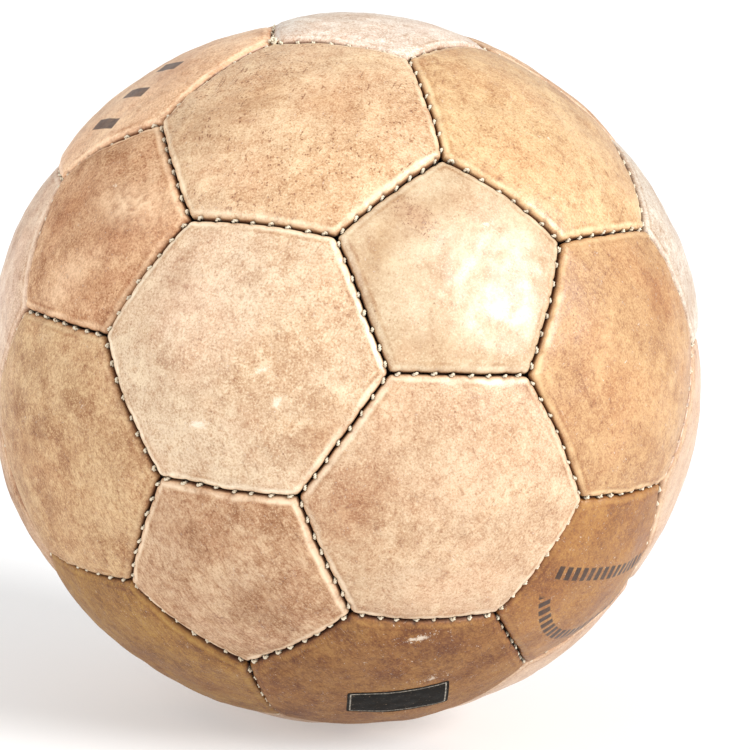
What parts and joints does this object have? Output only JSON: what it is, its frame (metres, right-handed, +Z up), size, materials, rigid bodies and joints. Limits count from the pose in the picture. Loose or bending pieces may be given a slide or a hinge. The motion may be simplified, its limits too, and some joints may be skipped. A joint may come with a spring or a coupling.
{
  "type": "soccer ball",
  "caption": "Hand-stitched football of leather hexagon and pentagon panels laced over an inflated rubber bladder, with a push-in needle valve.",
  "frame": {"origin": "centre of the ball", "axes": "+Z up through the middle of the top pentagon, as the ball stands in its display ring; +X to the side of the first of the five upper pentagons; -Y towards the front; the valve is up and behind, between +Z and +Y"},
  "size_m": [0.2194, 0.2178, 0.22],
  "materials": {
    "leather": "satin, waxed natural leather",
    "waxed_thread": "matt, waxed",
    "bladder_rubber": "matt",
    "valve_rubber": "matt",
    "canvas": "matt"
  },
  "bodies": {
    "ball": {"panel_pent_top": "leather", "panel_pent_upper_1": "leather", "panel_pent_upper_2": "leather", "panel_pent_upper_3": "leather", "panel_pent_upper_4": "leather", "panel_pent_upper_5": "leather", "panel_pent_lower_1": "leather", "panel_pent_lower_2": "leather", "panel_pent_lower_3": "leather", "panel_pent_lower_4": "leather", "panel_pent_lower_5": "leather", "panel_pent_bottom": "leather", "panel_hex_top_1": "leather", "panel_hex_valve": "leather", "panel_hex_top_3": "leather", "panel_hex_top_4": "leather", "panel_hex_top_5": "leather", "panel_hex_upper_1": "leather", "panel_hex_upper_2": "leather", "panel_hex_upper_3": "leather", "panel_hex_upper_4": "leather", "panel_hex_upper_5": "leather", "panel_hex_lower_1": "leather", "panel_hex_lower_2": "leather", "panel_hex_lower_3": "leather", "panel_hex_lower_4": "leather", "panel_hex_lower_5": "leather", "panel_hex_bottom_1": "leather", "panel_hex_bottom_2": "leather", "panel_hex_bottom_3": "leather", "panel_hex_bottom_4": "leather", "panel_hex_bottom_5": "leather", "seam_thread_top": "waxed_thread", "seam_thread_upper_1": "waxed_thread", "seam_thread_upper_2": "waxed_thread", "seam_thread_upper_3": "waxed_thread", "seam_thread_upper_4": "waxed_thread", "seam_thread_upper_5": "waxed_thread", "seam_thread_lower_1": "waxed_thread", "seam_thread_lower_2": "waxed_thread", "seam_thread_lower_3": "waxed_thread", "seam_thread_lower_4": "waxed_thread", "seam_thread_lower_5": "waxed_thread", "seam_thread_bottom": "waxed_thread", "bladder": "bladder_rubber", "valve_patch": "canvas", "valve_housing": "valve_rubber"},
    "valve_core": {"valve_core": "valve_rubber"}
  },
  "joints": [
    {"name": "valve_core_slide", "type": "slide", "parent": "ball", "child": "valve_core", "axis": [-0.1876, 0.5774, 0.7947], "range_m": [0, 0.022]}
  ]
}
